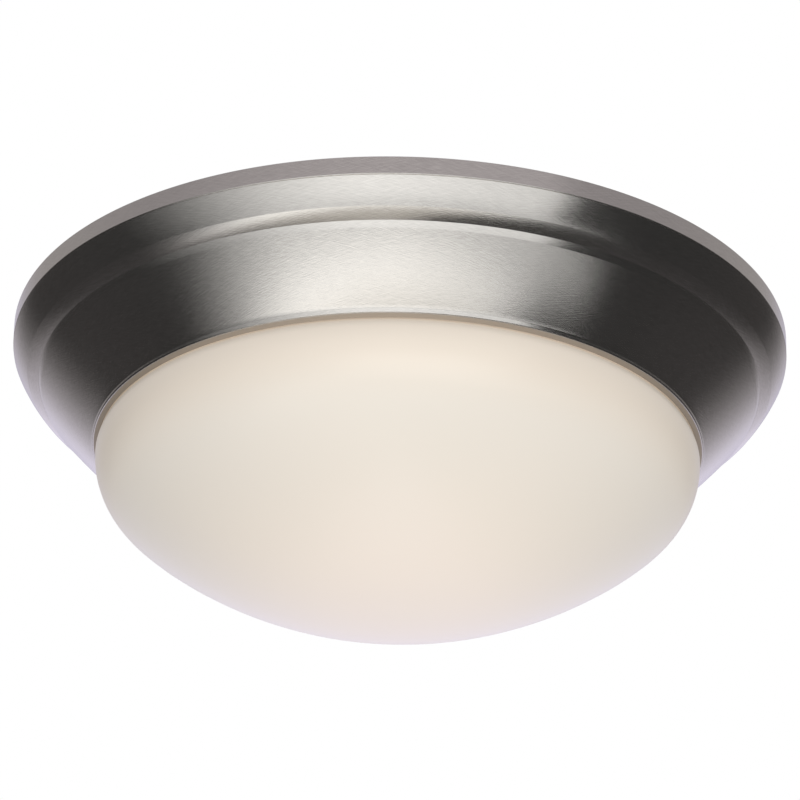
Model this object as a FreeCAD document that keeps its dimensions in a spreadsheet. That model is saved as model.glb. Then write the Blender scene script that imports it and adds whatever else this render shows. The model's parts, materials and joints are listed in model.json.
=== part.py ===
import FreeCAD, Part
import math
import os
import re
import Sketcher

# Flush mount ceiling light: a spun trim ring on a drawn back pan, held to a strap on the outlet box,
# with two lampholders back to back and an opal glass dome that locks on with a twist.
# Millimetres. The origin is the centre of the ceiling plane, +Z is up and the light hangs below it.

SIZES = {
    # trim ring, spun from sheet
    "rim_radius": 178.0,
    "rim_flare": 0.2,
    "rim_round": 1.2,
    "rim_depth": 8.9,
    "flange_width": 14.0,
    "trim_sheet": 0.9,
    "trim_across": 1.1,
    "upper_moulding_reach": 12.8,
    "crease_depth": 24.5,
    "upper_moulding_curve": 45.0,
    "lower_moulding_curve": 700.0,
    "lower_moulding_reach": 23.3,
    # bead under the lower moulding: a cove, a steep face and a round, then the lip that turns in
    "bead_height": 2.55,
    "bead_cove_curve": 1.8,
    "bead_cove_run": 0.37,
    "bead_cove_drop": 0.77,
    "bead_face_run": 0.1,
    "bead_round": 0.8,
    "bead_round_run": 0.67,
    "bead_round_drop": 0.63,
    "lip_rise": 0.57,
    "lip_return": 5.0,
    # back pan, drawn from sheet
    "pan_sheet": 0.8,
    "pan_across": 0.9,
    "pan_recess": 8.0,
    "pan_flange_inset": 6.0,
    "pan_shoulder_inset": 29.0,
    "pan_shoulder_run": 6.0,
    "rib_inset": 24.4,
    "rib_half_width": 4.0,
    "rib_curve": 6.1,
    # rivets between the pan and the trim ring
    "trim_rivet_inset": 10.0,
    "rivet_radius": 1.6,
    "rivet_head_radius": 3.0,
    "rivet_head_height": 1.1,
    "rivet_clearance": 0.1,
    "rivet_end_gap": 0.1,
    # insulation pad above the pan
    "pad_hole_radius": 72.0,
    "pad_edge_gap": 2.0,
    "pad_ceiling_gap": 0.8,
    "pad_seat_gap": 0.2,
    "pad_round": 2.0,
    # mounting strap
    "strap_sheet": 1.6,
    "strap_width": 18.0,
    "strap_end_length": 15.6,
    "strap_joggle_run": 3.4,
    "strap_joggle_drop": 3.4,
    "strap_bend_shift": 0.6,
    "strap_half_length": 64.0,
    "strap_corner": 4.0,
    "slot_spacing": 79.4,
    "slot_length": 15.0,
    "slot_width": 5.0,
    "nipple_radius": 4.86,
    "nipple_wall": 1.6,
    "nipple_length": 4.0,
    # screws and nuts of the number 8 machine thread
    "screw_radius": 2.08,
    "screw_clearance": 0.05,
    "screw_head_radius": 3.45,
    "screw_head_height": 2.1,
    "screw_head_round": 0.9,
    "stud_inset": 7.0,
    "stud_length": 12.4,
    "keyhole_radius": 5.2,
    "keyhole_slot_width": 4.8,
    "keyhole_run": 9.0,
    "cap_nut_flange_radius": 8.0,
    "cap_nut_flange_height": 1.2,
    "cap_nut_radius": 5.4,
    "cap_nut_height": 9.0,
    "cap_nut_crown_curve": 6.75,
    "cap_nut_crown_height": 2.7,
    "cap_nut_bore_depth": 7.5,
    "ground_screw_place": 20.0,
    "ground_head_radius": 4.2,
    "ground_head_height": 2.4,
    # wire bushing
    "bushing_across": 30.0,
    "bushing_along": 34.0,
    "bushing_bore": 8.0,
    "bushing_wall": 1.1,
    "bushing_clearance": 0.2,
    "bushing_flange": 2.0,
    "bushing_flange_height": 1.2,
    "bushing_snap": 0.8,
    "bushing_snap_height": 1.6,
    # lamp bracket
    "bracket_sheet": 1.5,
    "bracket_foot": 17.0,
    "bracket_below_lamp": 14.0,
    "bracket_bend": 2.5,
    "bracket_screw_reach": 10.0,
    "bracket_screw_spacing": 30.0,
    "bracket_screw_past": 1.0,
    # lampholders, porcelain
    "lamp_drop": 42.0,
    "holder_length": 36.0,
    "holder_radius": 17.5,
    "holder_mouth_radius": 18.2,
    "holder_round": 1.5,
    "holder_floor": 10.75,
    "holder_bore_floor": 3.25,
    "holder_flange_height": 7.0,
    "holder_flange_radius": 12.0,
    "holder_bolt_spacing": 46.0,
    "holder_ear": 6.5,
    "holder_bolt_clearance": 0.22,
    "terminal_place": 6.0,
    "terminal_screw_radius": 1.8,
    "terminal_screw_depth": 8.0,
    "terminal_head_radius": 3.2,
    "terminal_head_height": 2.0,
    "terminal_seat_gap": 0.3,
    # screw shells and plunger contacts
    "shell_radius": 13.25,
    "shell_sheet": 0.4,
    "shell_gap": 0.3,
    "shell_eye_radius": 7.0,
    "shell_mouth_recess": 1.2,
    "plunger_radius": 2.13,
    "plunger_clearance": 0.07,
    "plunger_stem": 6.7,
    "plunger_head_radius": 4.6,
    "plunger_head_height": 1.2,
    "plunger_gap": 0.3,
    # nuts of the holder bolts
    "nut_width": 8.7,
    "nut_height": 3.1,
    "bolt_past_nut": 1.2,
    # lamps
    "tip_above_floor": 2.75,
    "cap_fit_gap": 0.3,
    "cap_length": 21.7,
    "cap_sheet": 0.45,
    "tip_radius": 4.8,
    "tip_face_radius": 3.2,
    "tip_height": 1.0,
    "insulator_height": 2.5,
    "insulator_face_radius": 5.4,
    "insulator_inset": 0.5,
    "neck_gap": 0.3,
    "neck_depth": 9.0,
    "neck_flare_run": 5.5,
    "neck_flare": 2.0,
    "lamp_radius": 30.0,
    "lamp_length_share": 0.77,
    "lamp_glass_wall": 1.0,
    # glass dome
    "dome_depth": 132.1,
    "dome_side_gap": 1.7,
    "dome_shoulder_drop": 4.57,
    "dome_shoulder_share": 0.2183,
    "dome_haunch_share": 0.9098,
    "dome_bowl_share": 1.4449,
    "dome_bowl_angle": 37.2,
    "dome_haunch_angle": 43.9,
    "dome_wall": 3.5,
    "dome_neck_curve": 7.4,
    "dome_neck_rise": 15.8,
    # twist ring crimped over the neck of the dome
    "ring_sheet": 0.9,
    "ring_gap": 0.4,
    "ring_skirt": 6.0,
    "gasket_height": 1.0,
    "lug_reach": 10.0,
    "lug_width": 19.0,
    "lug_drop": 13.5,
    # bayonet hooks on the pan
    "hook_angle": 97.5,
    "hook_sheet": 1.1,
    "hook_bend": 2.0,
    "hook_stop_gap": 0.3,
    "hook_leg_gap": 2.5,
    "hook_foot_reach": 10.5,
    "hook_flange": 14.0,
    "hook_foot_gap": 0.3,
    "hook_stop_height": 3.8,
    "hook_rivet_inset": 7.5,
    "hook_rivet_half_spacing": 5.0,
}

# Sizes that follow from the ones above, so that each piece keeps its clearance to the piece it fits.
FOLLOWING = {
    "crease_radius": "rim_radius - upper_moulding_reach",
    "lip_radius": "crease_radius - lower_moulding_reach",
    "lip_opening": "lip_radius - lip_return",
    "pan_flange_radius": "rim_radius - pan_flange_inset",
    "pan_shoulder_radius": "rim_radius - pan_shoulder_inset",
    "pan_base_radius": "pan_shoulder_radius - pan_shoulder_run",
    "trim_rivet_circle": "rim_radius - trim_rivet_inset",
    "dome_neck_radius": "lip_opening - dome_side_gap",
    "dome_shoulder_curve": "dome_neck_radius * dome_shoulder_share",
    "dome_haunch_curve": "dome_neck_radius * dome_haunch_share",
    "dome_bowl_curve": "dome_neck_radius * dome_bowl_share",
    "bowl_rise": "dome_bowl_curve * (1 - cos(dome_bowl_angle * 1deg))",
    "haunch_drop": "cos(dome_bowl_angle * 1deg) - cos(dome_haunch_angle * 1deg)",
    "haunch_rise": "dome_haunch_curve * haunch_drop",
    "shoulder_rise": "dome_shoulder_curve * cos(dome_haunch_angle * 1deg)",
    "dome_widest_depth": "dome_depth - bowl_rise - haunch_rise - shoulder_rise",
    "lip_depth": "dome_widest_depth - dome_shoulder_drop",
    "dome_top_depth": "lip_depth - dome_neck_rise",
    "lug_circle": "dome_neck_radius - dome_wall - ring_gap - ring_sheet - lug_reach",
    "rib_radius": "lug_circle - rib_inset",
    "strap_flat_half": "strap_half_length - strap_end_length",
    "stud_spacing": "2 * (strap_half_length - stud_inset)",
    "lamp_length": "dome_neck_radius * lamp_length_share",
    "tip_place": "bracket_sheet / 2 + holder_floor + tip_above_floor",
    "cap_place": "tip_place + tip_height + insulator_height",
    "cap_rim_place": "cap_place + cap_length",
    "cap_radius": "shell_radius - cap_fit_gap",
    "neck_radius": "cap_radius - cap_sheet - neck_gap",
    "flare_place": "cap_rim_place + neck_flare_run",
    "flare_radius": "neck_radius + neck_flare",
    "bulb_place": "tip_place + lamp_length - lamp_radius",
    "flare_to_bulb": "bulb_place - flare_place",
}

HOOKS = 3
TRIM_RIVETS = 6
SIDES = {"right": 0, "left": 180}

doc = FreeCAD.newDocument("ceiling_light")
sheet = doc.addObject("Spreadsheet::Sheet", "Sizes")
subparts = []


def fill_sheet():
    """Write each size or its formula beside its name, and give the cell that name."""
    cells = {name: str(number) for name, number in SIZES.items()}
    cells.update({name: f"={formula}" for name, formula in FOLLOWING.items()})
    for row, (name, content) in enumerate(cells.items(), start=1):
        sheet.set(f"A{row}", name)
        sheet.set(f"B{row}", content)
        sheet.setAlias(f"B{row}", name)
    doc.recompute()


def named(expression):
    """Spell out the sheet in an expression made of size names."""
    known = SIZES.keys() | FOLLOWING.keys()
    return re.sub(r"\b[a-z]\w*\b", lambda m: f"Sizes.{m[0]}" if m[0] in known else m[0], expression)


def value(expression):
    """The number that an expression of size names gives now."""
    result = sheet.evalExpression(named(expression))
    return float(getattr(result, "Value", result))


def bind(item, slot, expression):
    """Tie one property of an object to the sheet."""
    item.setExpression(slot, named(expression))


def keep(item, label):
    """Mark an object as a sub-part with its own name."""
    item.Label = label
    subparts.append(item)
    return item


def new_body(name):
    """An empty body at the origin."""
    return doc.addObject("PartDesign::Body", name)


def plane(body, role):
    """One of a body's own origin planes or axes."""
    return next(f for f in body.Origin.OriginFeatures if f.Role == role)


def new_sketch(body, name, role="XZ_Plane", lift=None):
    """A sketch on an origin plane, moved along its normal by an expression."""
    sketch = body.newObject("Sketcher::SketchObject", name)
    sketch.AttachmentSupport = [(plane(body, role), "")]
    sketch.MapMode = "FlatFace"
    if lift:
        bind(sketch, "AttachmentOffset.Base.z", lift)
    doc.recompute()
    return sketch


def limit(sketch, kind, *ends, size):
    """Add one driven constraint and tie its value to the sheet."""
    number = value(size)
    index = sketch.addConstraint(Sketcher.Constraint(kind, *ends, number))
    sketch.setExpression(f"Constraints[{index}]", named(size))


def pin_point(sketch, edge, end, across, up):
    """Hold a point of a sketch at signed distances from its axes."""
    for kind, axis, size in (("DistanceX", -2, across), ("DistanceY", -1, up)):
        number = value(size)
        if abs(number) < 1e-9:
            sketch.addConstraint(Sketcher.Constraint("PointOnObject", edge, end, axis))
        elif number > 0:
            limit(sketch, kind, -1, 1, edge, end, size=size)
        else:
            limit(sketch, kind, edge, end, -1, 1, size=f"0 - ( {size} )")


def arc_between(start, end, radius, turn):
    """An arc from start to end; a turn of 1 runs anticlockwise and -1 clockwise."""
    chord = end - start
    rise = math.sqrt(max(radius**2 - (chord.Length / 2) ** 2, 0.0))
    aside = FreeCAD.Vector(-chord.y, chord.x, 0).normalize()
    centre = (start + end) / 2 + aside * rise * turn
    first, last = (start, end) if turn > 0 else (end, start)
    angles = [math.atan2(p.y - centre.y, p.x - centre.x) for p in (first, last)]
    if angles[1] <= angles[0]:
        angles[1] += 2 * math.pi
    circle = Part.Circle(centre, FreeCAD.Vector(0, 0, 1), radius)
    return Part.ArcOfCircle(circle, *angles)


def outline(sketch, corners):
    """Draw a closed outline. A corner is (across, up), or (across, up, radius, turn) before an arc."""
    spots = [FreeCAD.Vector(value(c[0]), value(c[1]), 0) for c in corners]
    edges = []
    for number, corner in enumerate(corners):
        start, end = spots[number], spots[(number + 1) % len(spots)]
        if len(corner) == 2:
            edges.append((sketch.addGeometry(Part.LineSegment(start, end)), 1, 2))
            continue
        bow = arc_between(start, end, value(corner[2]), corner[3])
        ends = (1, 2) if corner[3] > 0 else (2, 1)
        edges.append((sketch.addGeometry(bow), *ends))
    for number, corner in enumerate(corners):
        edge, first, _ = edges[number]
        before, _, last = edges[number - 1]
        sketch.addConstraint(Sketcher.Constraint("Coincident", before, last, edge, first))
        pin_point(sketch, edge, first, corner[0], corner[1])
        if len(corner) > 2:
            limit(sketch, "Radius", edge, size=corner[2])


def circles(sketch, spots, radius):
    """Draw equal circles at the given places."""
    for across, up in spots:
        centre = FreeCAD.Vector(value(across), value(up), 0)
        circle = Part.Circle(centre, FreeCAD.Vector(0, 0, 1), value(radius))
        edge = sketch.addGeometry(circle)
        pin_point(sketch, edge, 3, across, up)
        limit(sketch, "Radius", edge, size=radius)


def slot(sketch, across, up, run, width):
    """Draw a slot along the sketch's first axis, from its middle, its length and its width."""
    half = f"( ( {width} ) / 2 )"
    reach = f"( ( {run} ) / 2 - {half} )"
    radius, height = value(half), value(up)
    flat = FreeCAD.Vector(0, 0, 1)
    caps, sides = [], []
    for sign, start in (("-", math.pi / 2), ("+", -math.pi / 2)):
        middle = f"{across} {sign} {reach}"
        circle = Part.Circle(FreeCAD.Vector(value(middle), height, 0), flat, radius)
        cap = sketch.addGeometry(Part.ArcOfCircle(circle, start, start + math.pi))
        pin_point(sketch, cap, 3, middle, up)
        limit(sketch, "Radius", cap, size=half)
        caps.append(cap)
    left, right = value(f"{across} - {reach}"), value(f"{across} + {reach}")
    for first, last, level in ((left, right, height - radius), (right, left, height + radius)):
        ends = FreeCAD.Vector(first, level, 0), FreeCAD.Vector(last, level, 0)
        sides.append(sketch.addGeometry(Part.LineSegment(*ends)))
    joints = ((caps[0], 2, sides[0], 1), (sides[0], 2, caps[1], 1))
    joints += ((caps[1], 2, sides[1], 1), (sides[1], 2, caps[0], 1))
    for joint in joints:
        sketch.addConstraint(Sketcher.Constraint("Tangent", *joint))


def revolve(body, corners, axis="V_Axis"):
    """Turn an outline round an axis of its sketch into the body's first solid."""
    sketch = new_sketch(body, body.Name + "_outline")
    outline(sketch, corners)
    turn = body.newObject("PartDesign::Revolution", body.Name + "_turn")
    turn.Profile = sketch
    turn.ReferenceAxis = (sketch, [axis])
    turn.Angle = 360
    sketch.Visibility = False
    doc.recompute()
    return turn


def pad(body, sketch, length, middle=False, down=False):
    """Raise a sketch into a solid of the given length."""
    raised = body.newObject("PartDesign::Pad", sketch.Name + "_pad")
    raised.Profile = sketch
    bind(raised, "Length", length)
    raised.Midplane = middle
    raised.Reversed = down
    sketch.Visibility = False
    doc.recompute()
    return raised


def pocket(body, sketch, backwards=False, depth=None):
    """Cut a sketch through the body, or to a depth, and make sure that it cuts."""
    before = body.Shape.Volume
    cut = body.newObject("PartDesign::Pocket", sketch.Name + "_cut")
    cut.Profile = sketch
    cut.Type = "Length" if depth else "ThroughAll"
    if depth:
        bind(cut, "Length", depth)
    cut.Reversed = backwards
    sketch.Visibility = False
    doc.recompute()
    if body.Shape.Volume >= before:
        raise RuntimeError(f"{cut.Name} cuts nothing")
    return cut


def pattern(body, feature, count):
    """Repeat a feature evenly round the body's own Z axis."""
    ring = body.newObject("PartDesign::PolarPattern", feature.Name + "_ring")
    ring.Originals = [feature]
    ring.Axis = (plane(body, "Z_Axis"), [""])
    ring.Angle = 360
    ring.Occurrences = count
    body.Tip = ring
    doc.recompute()
    return ring


def place(body, across="0", along="0", up="0", turn=0):
    """Set a body's place from the sheet, and turn it about Z by a plain angle."""
    body.Placement = FreeCAD.Placement(
        FreeCAD.Vector(), FreeCAD.Rotation(FreeCAD.Vector(0, 0, 1), turn)
    )
    for letter, size in (("x", across), ("y", along), ("z", up)):
        bind(body, f"Placement.Base.{letter}", size)


def turned(name, corners, across="0", along="0", up="0"):
    """A body turned about its own Z axis, at a place given in size names."""
    body = new_body(name)
    revolve(body, corners)
    place(body, across, along, up)
    return body


def lamp_turned(name, corners, side):
    """A body turned about the lamp axis, facing right or left from the bracket."""
    body = new_body(name)
    revolve(body, corners, axis="H_Axis")
    place(body, up="0 - lamp_drop", turn=SIDES[side])
    return body


def group(label, members):
    """Several equal pieces as one sub-part of separate solids."""
    together = doc.addObject("Part::Compound", label)
    together.Links = members
    return keep(together, label)


def make_trim_ring():
    """Spun ring: ceiling flange, rim wall, two mouldings, a bead, and a lip turned in round the dome."""
    body = new_body("trim_ring")
    low = "0 - lip_depth"
    skin = "trim_across"
    face = "lip_radius - bead_cove_run - bead_face_run"
    corners = [
        ("rim_radius - flange_width", "0"),
        ("rim_radius - rim_round", "0", "rim_round", -1),
        ("rim_radius", "0 - rim_round"),
        ("rim_radius + rim_flare", "0 - rim_depth", "upper_moulding_curve", -1),
        ("crease_radius", "0 - crease_depth", "lower_moulding_curve", -1),
        ("lip_radius", f"{low} + bead_height", "bead_cove_curve", 1),
        ("lip_radius - bead_cove_run", f"{low} + bead_height - bead_cove_drop"),
        (face, f"{low} + lip_rise + bead_round_drop", "bead_round", -1),
        (f"{face} - bead_round_run", f"{low} + lip_rise"),
        ("lip_opening", low),
        ("lip_opening", f"{low} + trim_sheet"),
        (f"{face} - {skin}", f"{low} + lip_rise + trim_sheet"),
        (f"lip_radius - {skin}", f"{low} + bead_height", "lower_moulding_curve", 1),
        (f"crease_radius - {skin}", "0 - crease_depth", "upper_moulding_curve", 1),
        (f"rim_radius + rim_flare - {skin}", "0 - rim_depth"),
        (f"rim_radius - {skin}", "0 - trim_sheet"),
        ("rim_radius - flange_width", "0 - trim_sheet"),
    ]
    revolve(body, corners)
    holes = new_sketch(body, "trim_rivet_hole", "XY_Plane")
    circles(holes, [("trim_rivet_circle", "0")], "rivet_radius + rivet_clearance")
    pattern(body, pocket(body, holes, depth="trim_sheet"), TRIM_RIVETS)
    keep(body, "trim_ring")


def make_back_pan():
    """Drawn pan: flange under the trim ring's, a recess for the strap, a stiffening rib and holes."""
    body = new_body("back_pan")
    top, under = "0 - pan_recess", "0 - pan_recess - pan_sheet"
    seat, below = "0 - trim_sheet", "0 - trim_sheet - pan_sheet"
    rib_in, rib_out = "rib_radius - rib_half_width", "rib_radius + rib_half_width"
    corners = [
        ("0", top),
        (rib_in, top, "rib_curve", 1),
        (rib_out, top),
        ("pan_base_radius", top),
        ("pan_shoulder_radius", seat),
        ("pan_flange_radius", seat),
        ("pan_flange_radius", below),
        ("pan_shoulder_radius + pan_across", below),
        ("pan_base_radius + pan_across", under),
        (f"{rib_out} + pan_sheet / 2", under, "rib_curve + pan_sheet", -1),
        (f"{rib_in} - pan_sheet / 2", under),
        ("0", under),
    ]
    revolve(body, corners)
    rivet_hole = "rivet_radius + rivet_clearance"
    holes = new_sketch(body, "pan_rivet_hole", "XY_Plane")
    circles(holes, [("trim_rivet_circle", "0")], rivet_hole)
    pattern(body, pocket(body, holes), TRIM_RIVETS)
    keyhole = new_sketch(body, "keyhole_eye", "XY_Plane")
    eyes = [("keyhole_run", "stud_spacing / 2"), ("0 - keyhole_run", "0 - stud_spacing / 2")]
    circles(keyhole, eyes, "keyhole_radius")
    pocket(body, keyhole)
    for name, along in (("far", "stud_spacing / 2"), ("near", "0 - stud_spacing / 2")):
        throat = new_sketch(body, f"keyhole_throat_{name}", "XY_Plane")
        middle = "keyhole_run / 2" if name == "far" else "0 - keyhole_run / 2"
        slot(throat, middle, along, "keyhole_run + keyhole_slot_width", "keyhole_slot_width")
        pocket(body, throat)
    wires = new_sketch(body, "bushing_hole", "XY_Plane")
    bushing_hole = "bushing_bore + bushing_wall + bushing_clearance"
    circles(wires, [("bushing_across", "bushing_along")], bushing_hole)
    pocket(body, wires)
    screws = new_sketch(body, "bracket_screw_holes", "XY_Plane")
    spots = [
        ("bracket_screw_reach", "bracket_screw_spacing / 2"),
        ("bracket_screw_reach", "0 - bracket_screw_spacing / 2"),
    ]
    circles(screws, spots, "screw_radius + screw_clearance")
    pocket(body, screws)
    for number in range(HOOKS):
        rivets = new_sketch(body, f"hook_rivet_holes_{number}", "XY_Plane")
        circles(rivets, [hook_rivet_spot(number, side) for side in (1, -1)], rivet_hole)
        pocket(body, rivets)
    keep(body, "back_pan")


def hook_rivet_spot(number, side):
    """Where one rivet of a hook goes through the pan."""
    angle = f"( hook_angle + {number} * 360 / {HOOKS} ) * 1deg"
    reach = "( lug_circle - hook_leg_gap - hook_rivet_inset )"
    aside = f"( {side} * hook_rivet_half_spacing )"
    across = f"{reach} * cos( {angle} ) - {aside} * sin( {angle} )"
    along = f"{reach} * sin( {angle} ) + {aside} * cos( {angle} )"
    return across, along


def make_rivets():
    """Rivets of the trim ring and of the hooks: a head under the sheet and a flush end above."""
    trim_seat = "0 - trim_sheet - pan_sheet"
    hook_seat = "0 - pan_recess - pan_sheet - hook_sheet"
    members = []
    for number in range(TRIM_RIVETS):
        angle = f"( {number} * 360 / {TRIM_RIVETS} ) * 1deg"
        across = f"trim_rivet_circle * cos( {angle} )"
        along = f"trim_rivet_circle * sin( {angle} )"
        grip = "trim_sheet + pan_sheet - rivet_end_gap"
        members.append(rivet(f"trim_rivet_{number}", grip, across, along, trim_seat))
    group("trim_rivets", members)
    members = []
    for number in range(HOOKS):
        for side in (1, -1):
            name = f"hook_rivet_{number}_{'a' if side > 0 else 'b'}"
            grip = "pan_sheet + hook_sheet - rivet_end_gap"
            members.append(rivet(name, grip, *hook_rivet_spot(number, side), hook_seat))
    group("hook_rivets", members)


def rivet(name, grip, across, along, seat):
    """One rivet whose head lies under a seat and whose shank runs up through the sheets."""
    crown = "( rivet_head_radius ^ 2 + rivet_head_height ^ 2 ) / ( 2 * rivet_head_height )"
    corners = [
        ("0", "0 - rivet_head_height", crown, 1),
        ("rivet_head_radius", "0"),
        ("rivet_radius", "0"),
        ("rivet_radius", grip),
        ("0", grip),
    ]
    return turned(name, corners, across, along, seat)


def make_insulation_pad():
    """Ring of mineral wool between the pan and the ceiling, round the strap."""
    body = new_body("insulation_pad")
    top, bottom = "0 - pad_ceiling_gap", "0 - pan_recess + pad_seat_gap"
    edge = "pan_base_radius - pad_edge_gap"
    corners = [
        ("pad_hole_radius", bottom),
        (edge, bottom),
        (edge, f"{top} - pad_round", "pad_round", 1),
        (f"{edge} - pad_round", top),
        ("pad_hole_radius + pad_round", top, "pad_round", 1),
        ("pad_hole_radius", f"{top} - pad_round"),
    ]
    revolve(body, corners)
    keep(body, "insulation_pad")


def make_mounting_strap():
    """Joggled steel strap: slots for the outlet box, a threaded centre collar and tapped ends."""
    body = new_body("mounting_strap")
    drop, under = "0 - strap_joggle_drop", "0 - strap_joggle_drop - strap_sheet"
    knee = "( strap_flat_half + strap_joggle_run )"
    flat = "( strap_flat_half - strap_bend_shift )"
    half = [
        ("strap_flat_half", "0"),
        (knee, drop),
        ("strap_half_length", drop),
        ("strap_half_length", under),
        (f"( {knee} - strap_bend_shift )", under),
        (flat, "0 - strap_sheet"),
    ]
    other = [(f"0 - {across}", up) for across, up in reversed(half)]
    side = new_sketch(body, "strap_side")
    outline(side, half + other)
    pad(body, side, "strap_width", middle=True)
    collar = new_sketch(body, "strap_collar", "XY_Plane")
    circles(collar, [("0", "0")], "nipple_radius + nipple_wall")
    pad(body, collar, "nipple_length", down=True)
    bore = new_sketch(body, "strap_bore", "XY_Plane")
    circles(bore, [("0", "0")], "nipple_radius")
    pocket(body, bore)
    for name, sign in (("right", ""), ("left", "0 - ")):
        box = new_sketch(body, f"strap_slot_{name}", "XY_Plane")
        slot(box, f"{sign}slot_spacing / 2", "0", "slot_length", "slot_width")
        pocket(body, box)
    taps = new_sketch(body, "strap_taps", "XY_Plane")
    spots = [("stud_spacing / 2", "0"), ("0 - stud_spacing / 2", "0"), ("ground_screw_place", "0")]
    circles(taps, spots, "screw_radius + screw_clearance")
    pocket(body, taps)
    ends = [
        f"Edge{number}"
        for number, edge in enumerate(body.Shape.Edges, start=1)
        if abs(abs(edge.CenterOfMass.x) - value("strap_half_length")) < 1e-6
        and abs(abs(edge.CenterOfMass.y) - value("strap_width / 2")) < 1e-6
    ]
    plain = body.Tip
    rounding = body.newObject("PartDesign::Fillet", "strap_corners")
    rounding.Base = (plain, ends)
    bind(rounding, "Radius", "strap_corner")
    body.Tip = rounding
    doc.recompute()
    place(body, turn=90)
    keep(body, "mounting_strap")


def pan_head_screw(name, length, across, along, up):
    """A screw with a rounded head above its seat and a shank below it."""
    corners = [
        ("0", "screw_head_height"),
        ("screw_head_radius - screw_head_round", "screw_head_height", "screw_head_round", -1),
        ("screw_head_radius", "screw_head_height - screw_head_round"),
        ("screw_head_radius", "0"),
        ("screw_radius", "0"),
        ("screw_radius", f"0 - ( {length} )"),
        ("0", f"0 - ( {length} )"),
    ]
    return turned(name, corners, across, along, up)


def make_strap_fasteners():
    """Stud screws hanging from the strap's ends, cap nuts under the pan, and the ground screw."""
    studs, nuts = [], []
    nut_corners = [
        ("screw_radius + screw_clearance", "0"),
        ("cap_nut_flange_radius", "0"),
        ("cap_nut_flange_radius", "0 - cap_nut_flange_height"),
        ("cap_nut_radius", "0 - cap_nut_flange_height"),
        ("cap_nut_radius", "cap_nut_crown_height - cap_nut_height", "cap_nut_crown_curve", -1),
        ("0", "0 - cap_nut_height"),
        ("0", "0 - cap_nut_bore_depth"),
        ("screw_radius + screw_clearance", "0 - cap_nut_bore_depth"),
    ]
    for name, along in (("far", "stud_spacing / 2"), ("near", "0 - stud_spacing / 2")):
        seat = "0 - strap_joggle_drop"
        studs.append(pan_head_screw(f"stud_{name}", "stud_length", "0", along, seat))
        under = "0 - pan_recess - pan_sheet"
        nuts.append(turned(f"cap_nut_{name}", nut_corners, "0", along, under))
    group("stud_screws", studs)
    group("cap_nuts", nuts)
    head = "ground_head_height"
    corners = [
        ("0", f"0 - {head}"),
        ("ground_head_radius", f"0 - {head}"),
        ("ground_head_radius", "0"),
        ("screw_radius", "0"),
        ("screw_radius", "strap_sheet"),
        ("0", "strap_sheet"),
    ]
    ground = turned("ground_screw", corners, "0", "ground_screw_place", "0 - strap_sheet")
    keep(ground, "ground_screw")


def make_wire_bushing():
    """Plastic bushing that lines the wire hole of the pan: a flange above and a snap bead below."""
    wall = "bushing_bore + bushing_wall"
    top, under = "0 - pan_recess", "0 - pan_recess - pan_sheet"
    corners = [
        ("bushing_bore", f"{top} + bushing_flange_height"),
        (f"{wall} + bushing_flange", f"{top} + bushing_flange_height"),
        (f"{wall} + bushing_flange", top),
        (wall, top),
        (wall, under),
        (f"{wall} + bushing_snap", under),
        (f"{wall} - bushing_wall / 2", f"{under} - bushing_snap_height"),
        ("bushing_bore", f"{under} - bushing_snap_height"),
    ]
    body = turned("wire_bushing", corners, "bushing_across", "bushing_along")
    keep(body, "wire_bushing")


def make_socket_bracket():
    """Bent steel angle that carries both lampholders, back to back, under the pan."""
    body = new_body("socket_bracket")
    top = "0 - pan_recess - pan_sheet"
    half = "bracket_sheet / 2"
    low = "0 - lamp_drop - bracket_below_lamp"
    corners = [
        (f"bracket_bend - {half}", top),
        (f"bracket_foot + {half}", top),
        (f"bracket_foot + {half}", f"{top} - bracket_sheet"),
        (f"bracket_bend - {half}", f"{top} - bracket_sheet", "bracket_bend - bracket_sheet", 1),
        (half, f"{top} - bracket_bend"),
        (half, low),
        (f"0 - {half}", low),
        (f"0 - {half}", f"{top} - bracket_bend", "bracket_bend", -1),
    ]
    side = new_sketch(body, "bracket_side")
    outline(side, corners)
    pad(body, side, "holder_bolt_spacing + 2 * holder_ear", middle=True)
    feet = new_sketch(body, "bracket_foot_holes", "XY_Plane")
    spots = [
        ("bracket_screw_reach", "bracket_screw_spacing / 2"),
        ("bracket_screw_reach", "0 - bracket_screw_spacing / 2"),
    ]
    circles(feet, spots, "screw_radius + holder_bolt_clearance")
    pocket(body, feet)
    bolts = new_sketch(body, "bracket_bolt_holes", "YZ_Plane", "bracket_foot * 2")
    spots = [
        ("holder_bolt_spacing / 2", "0 - lamp_drop"),
        ("0 - holder_bolt_spacing / 2", "0 - lamp_drop"),
    ]
    circles(bolts, spots, "screw_radius + holder_bolt_clearance")
    pocket(body, bolts)
    keep(body, "socket_bracket")
    under = f"{top} - bracket_sheet"
    members = []
    grip = "bracket_sheet + pan_sheet + bracket_screw_past"
    corners = [
        ("0", "0 - screw_head_height"),
        ("screw_head_radius - screw_head_round", "0 - screw_head_height", "screw_head_round", 1),
        ("screw_head_radius", "screw_head_round - screw_head_height"),
        ("screw_head_radius", "0"),
        ("screw_radius", "0"),
        ("screw_radius", grip),
        ("0", grip),
    ]
    for name, side_sign in (("far", ""), ("near", "0 - ")):
        along = f"{side_sign}bracket_screw_spacing / 2"
        body = turned(f"bracket_screw_{name}", corners, "bracket_screw_reach", along, under)
        members.append(body)
    group("bracket_screws", members)


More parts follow.
